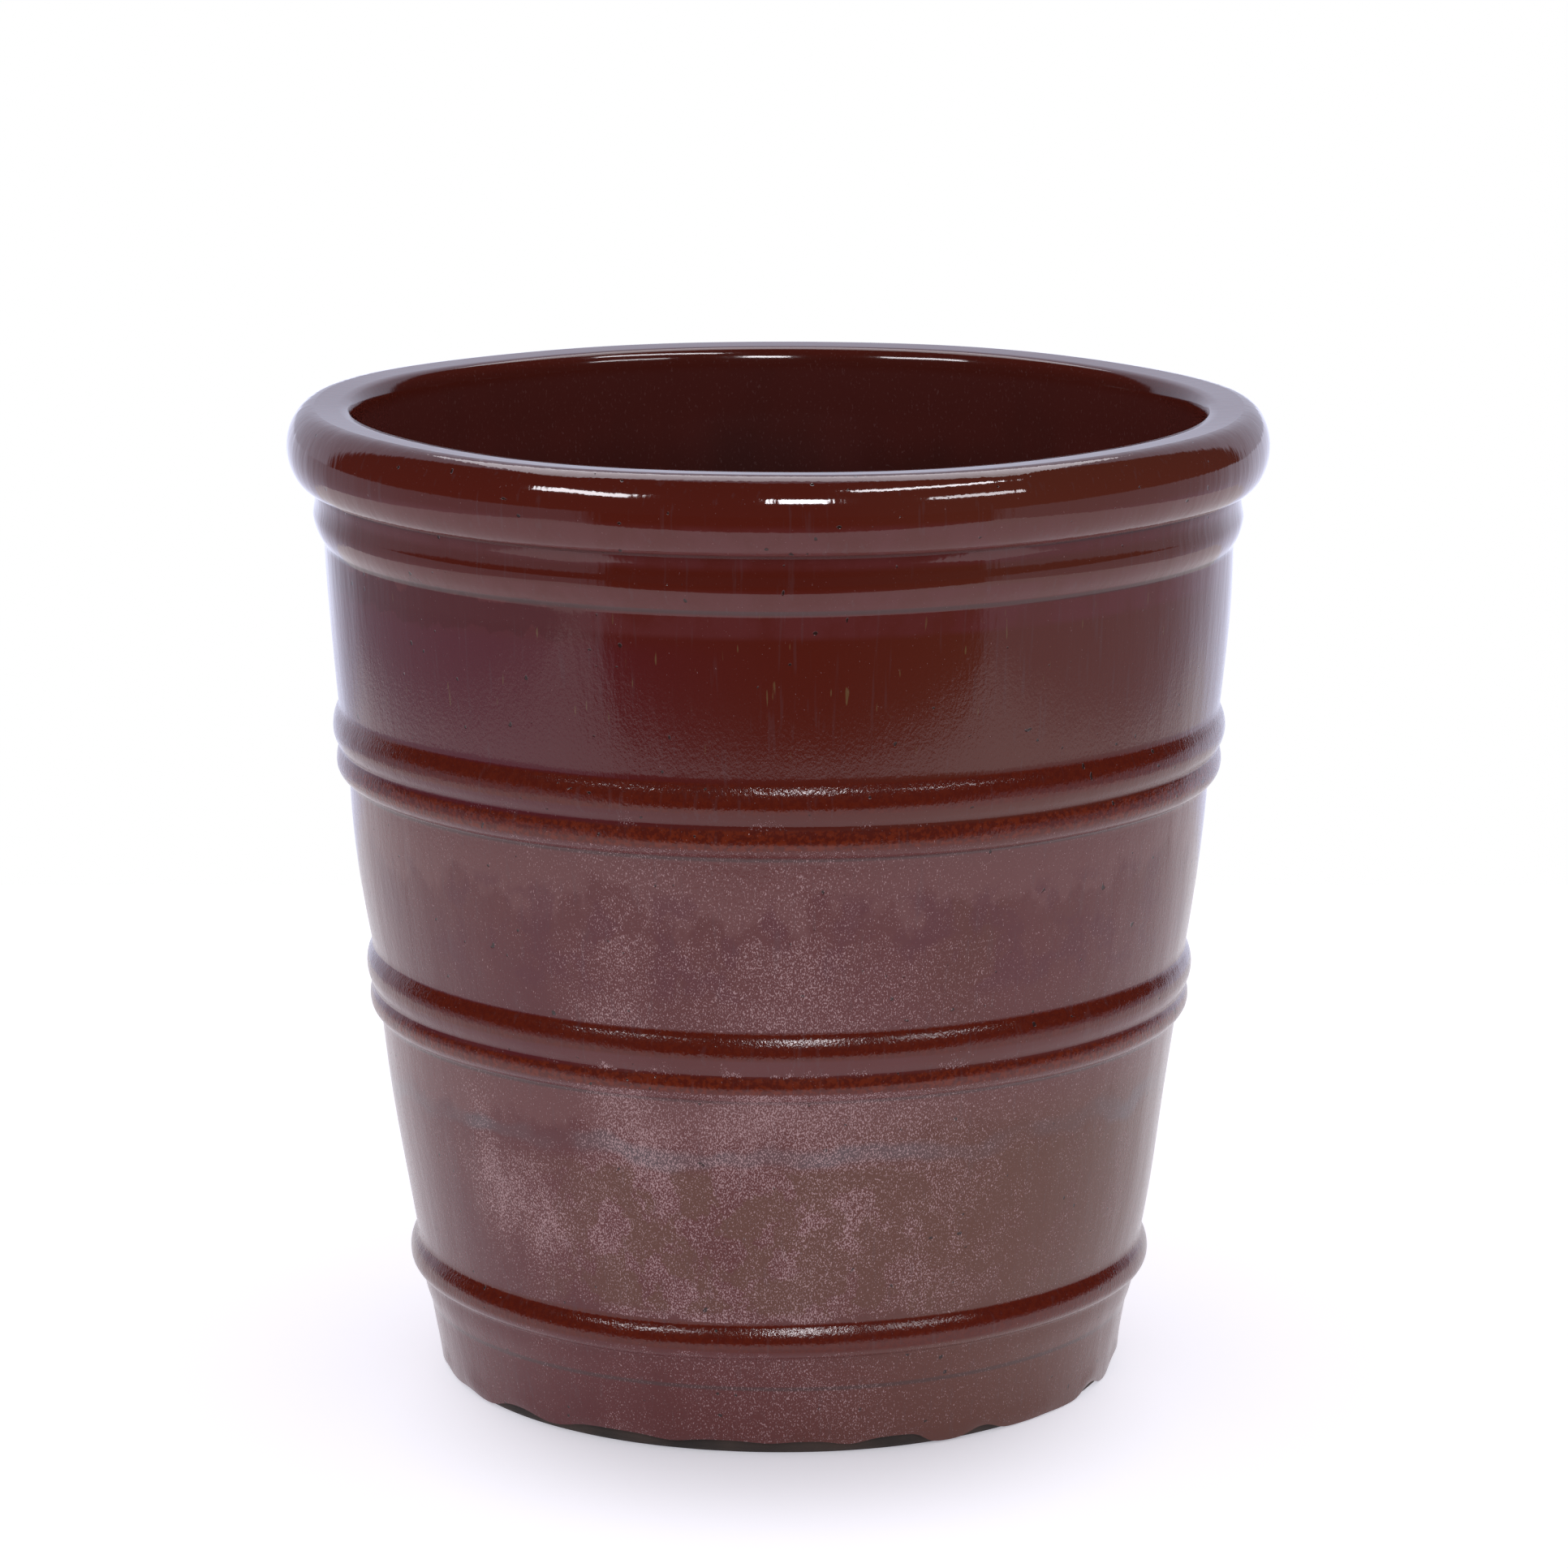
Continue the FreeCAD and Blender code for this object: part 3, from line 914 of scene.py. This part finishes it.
def floor_material():
    material, graph = new_material("studio_floor")
    place = graph.add("ShaderNodeTexCoord").outputs["Object"]
    # painted shadow: the floor glows less near a point just forward of the pot, more further away
    shade = {0: place, 1: (0, -PAINTED_SHADOW_FORWARD, 0)}
    away = graph.add("ShaderNodeVectorMath", shade, operation="DISTANCE").outputs["Value"]
    glow = graph.ease(away, *PAINTED_SHADOW_REACH, *FLOOR_GLOW)
    graph.finish({
        "Base Color": FLOOR_GREY, "Roughness": FLOOR_ROUGHNESS, "Specular IOR Level": 0.0,
        "Emission Color": FLOOR_TINT, "Emission Strength": glow,
    })
    return material


# ---------------------------------------------------------------- studio


# camera: lens and sensor in millimetres, shift as a share of the picture's width
VIEWER_DISTANCE = 3.0
VIEWER_HEIGHT = 0.931
VIEW_PITCH = math.radians(11.81)
LENS = 136.57
SENSOR = 36.0
SHIFT_X = 0.0034
FARTHEST_SEEN = 50

# floor: its edges, its colour, and the glow that makes it pale away from the pot; the glow is
# weakest just in front of the pot, which paints the pot's shadow there
FLOOR_FRONT = 1.05
FLOOR_BACK = 1.1
FLOOR_SIDE = 1.3
FLOOR_GREY = (0.76, 0.74, 0.78, 1)
FLOOR_ROUGHNESS = 0.8
FLOOR_TINT = (0.97, 0.965, 1.06, 1)
FLOOR_GLOW = (0.33, 0.58)
PAINTED_SHADOW_REACH = (0.07, 0.21)
PAINTED_SHADOW_FORWARD = 0.12

# lamps: each strip's azimuth, elevation, distance, width, depth and radiance
SOFTBOX_PLACE = (0, 0.77, 2.0)
SOFTBOX = (1.8, 1.5, 3.6)
STRIPS = {
    "left_strip": (-47.3, 33.0, 2.77, 1.05, 0.34, 24.0),
    "centre_strip": (6.3, 29.2, 2.66, 0.55, 0.40, 32.0),
    "right_strip": (47.5, 54.5, 2.51, 1.30, 0.22, 24.0),
    "right_low_strip": (47.0, 27.5, 2.78, 0.95, 0.24, 16.0),
}

# reflected room: a dark dome that opens to white behind and above, over a paler floor level
WHITE_TINT = (1.0, 0.98, 1.03)
ROOM_TINT = (0.93, 0.97, 1.20)
AMBIENT_RADIANCE = 0.76
DARK_RADIANCE = 0.025
WHITE_RADIANCE = 0.8
DARK_AZIMUTH = math.radians(130)
DARK_ELEVATION = math.radians(92)
DARK_SQUARENESS = 5.0
DARK_EDGE = (0.9, 1.1)
FRONT_AZIMUTH = math.radians(45)
SIDE_RADIANCE = 0.5
BACK_RADIANCE = 1.25
BACK_FROM = math.radians(116)
BACK_TO = math.radians(158)
SKEW = math.radians(8)
HORIZON_SOFTNESS = 0.01


def camera():
    data = bpy.data.cameras.new("viewer")
    data.sensor_width = SENSOR
    data.lens = LENS
    data.shift_x = SHIFT_X
    data.clip_end = FARTHEST_SEEN
    item = bpy.data.objects.new("viewer", data)
    item.location = (0, -VIEWER_DISTANCE, VIEWER_HEIGHT)
    item.rotation_euler = (math.radians(90) - VIEW_PITCH, 0, 0)
    bpy.context.scene.collection.objects.link(item)
    bpy.context.scene.camera = item


def studio_floor():
    mesh = bpy.data.meshes.new("studio_floor")
    corners = (
        (-FLOOR_SIDE, -FLOOR_FRONT, 0), (FLOOR_SIDE, -FLOOR_FRONT, 0),
        (FLOOR_SIDE, FLOOR_BACK, 0), (-FLOOR_SIDE, FLOOR_BACK, 0),
    )
    mesh.from_pydata(corners, [], [(0, 1, 2, 3)])
    mesh.materials.append(floor_material())
    item = bpy.data.objects.new("studio_floor", mesh)
    bpy.context.scene.collection.objects.link(item)


def place_light(name, data, place, towards):
    """Puts a light at a place, its back to towards.  It only shows in reflections."""
    item = bpy.data.objects.new(name, data)
    item.location = place
    item.rotation_euler = towards.to_track_quat("Z", "Y").to_euler()
    item.visible_camera = False
    item.visible_diffuse = False
    bpy.context.scene.collection.objects.link(item)
    return item


def panel(name, place, towards, width, depth, radiance):
    data = bpy.data.lights.new(name, "AREA")
    data.shape = "RECTANGLE"
    data.size = width
    data.size_y = depth
    data.energy = radiance * math.pi * width * depth
    data.color = WHITE_TINT
    return place_light(name, data, place, towards)


def strip(name, azimuth, elevation, distance, width, depth, radiance):
    """Light facing the rim; azimuth is from the viewer's side, + to the right, in degrees."""
    level = math.cos(math.radians(elevation))
    towards = Vector((
        math.sin(math.radians(azimuth)) * level,
        -math.cos(math.radians(azimuth)) * level,
        math.sin(math.radians(elevation)),
    ))
    aim = Vector((0, 0, cad_top()))
    return panel(name, aim + towards * distance, towards, width, depth, radiance)


def lamps():
    panel("top_softbox", SOFTBOX_PLACE, Vector((0, 0, 1)), *SOFTBOX)
    for name, row in STRIPS.items():
        strip(name, *row)


def studio_world():
    """Even light for diffuse surfaces, white for the viewer, and a dark room in the reflections.

    The dark room is open behind and above; under the horizon it shows past the floor's edges.
    """
    world = bpy.data.worlds.new("studio")
    bpy.context.scene.world = world
    world.use_nodes = True
    graph = Graph(world.node_tree)
    towards = graph.add("ShaderNodeTexCoord").outputs["Generated"]
    axes = graph.add("ShaderNodeSeparateXYZ", {0: towards})
    back = graph.math("MULTIPLY", axes.outputs["Y"], -1.0)
    turn = graph.math("ARCTAN2", axes.outputs["X"], back)
    azimuth = graph.math("ABSOLUTE", graph.math("ADD", turn, -SKEW / 2))
    climb = graph.math("MAXIMUM", graph.math("ARCSINE", axes.outputs["Z"]), 0.0)
    across = graph.math("POWER", graph.math("DIVIDE", azimuth, DARK_AZIMUTH), DARK_SQUARENESS)
    up = graph.math("POWER", graph.math("DIVIDE", climb, DARK_ELEVATION), DARK_SQUARENESS)
    above = graph.ease(graph.math("ADD", across, up), *DARK_EDGE, DARK_RADIANCE, WHITE_RADIANCE)
    skewed = graph.math("ABSOLUTE", graph.math("ADD", turn, SKEW))
    below = graph.ease(skewed, BACK_FROM, BACK_TO, SIDE_RADIANCE, BACK_RADIANCE)
    front = graph.ease(azimuth, FRONT_AZIMUTH, FRONT_AZIMUTH + SKEW)
    below = graph.math("MULTIPLY", below, front)
    sky = graph.ease(axes.outputs["Z"], -HORIZON_SOFTNESS, 0.0)
    room = graph.math("MULTIPLY", above, sky)
    under = graph.math("MULTIPLY", below, graph.math("SUBTRACT", 1.0, sky))
    room = graph.math("ADD", room, under)
    rays = graph.add("ShaderNodeLightPath")
    even = graph.math("MULTIPLY", rays.outputs["Is Diffuse Ray"], AMBIENT_RADIANCE)
    sharp = graph.math("MULTIPLY", rays.outputs["Is Glossy Ray"], room)
    strength = graph.math("ADD", graph.math("ADD", even, sharp), rays.outputs["Is Camera Ray"])
    colour = graph.blend(rays.outputs["Is Glossy Ray"], (1, 1, 1), ROOM_TINT)
    shell = graph.add("ShaderNodeBackground", {"Color": colour, "Strength": strength})
    graph.add("ShaderNodeOutputWorld", {"Surface": shell.outputs[0]})


def picture_settings():
    view = bpy.context.scene.view_settings
    view.view_transform = "Standard"
    view.look = "None"


def main():
    clay = clay_material()
    outside, inside = outer_glaze_material(), inner_glaze_material()
    skin_piece("glaze_outside", "outer_glaze", 0, GLAZE_RINGS, outside, (dripping, uneven))
    skin_piece("glaze_inside", "inner_glaze", 1, INNER_RINGS, inside, (uneven,))
    rim_roll(clay)
    wall(clay)
    floor_slab(clay)
    bead("collar_bead", clay)
    for band in BANDS:
        bead(f"{band}_band_bottom", clay)
        bead(f"{band}_band_top", clay)
    studio_floor()
    studio_world()
    lamps()
    camera()
    picture_settings()


main()
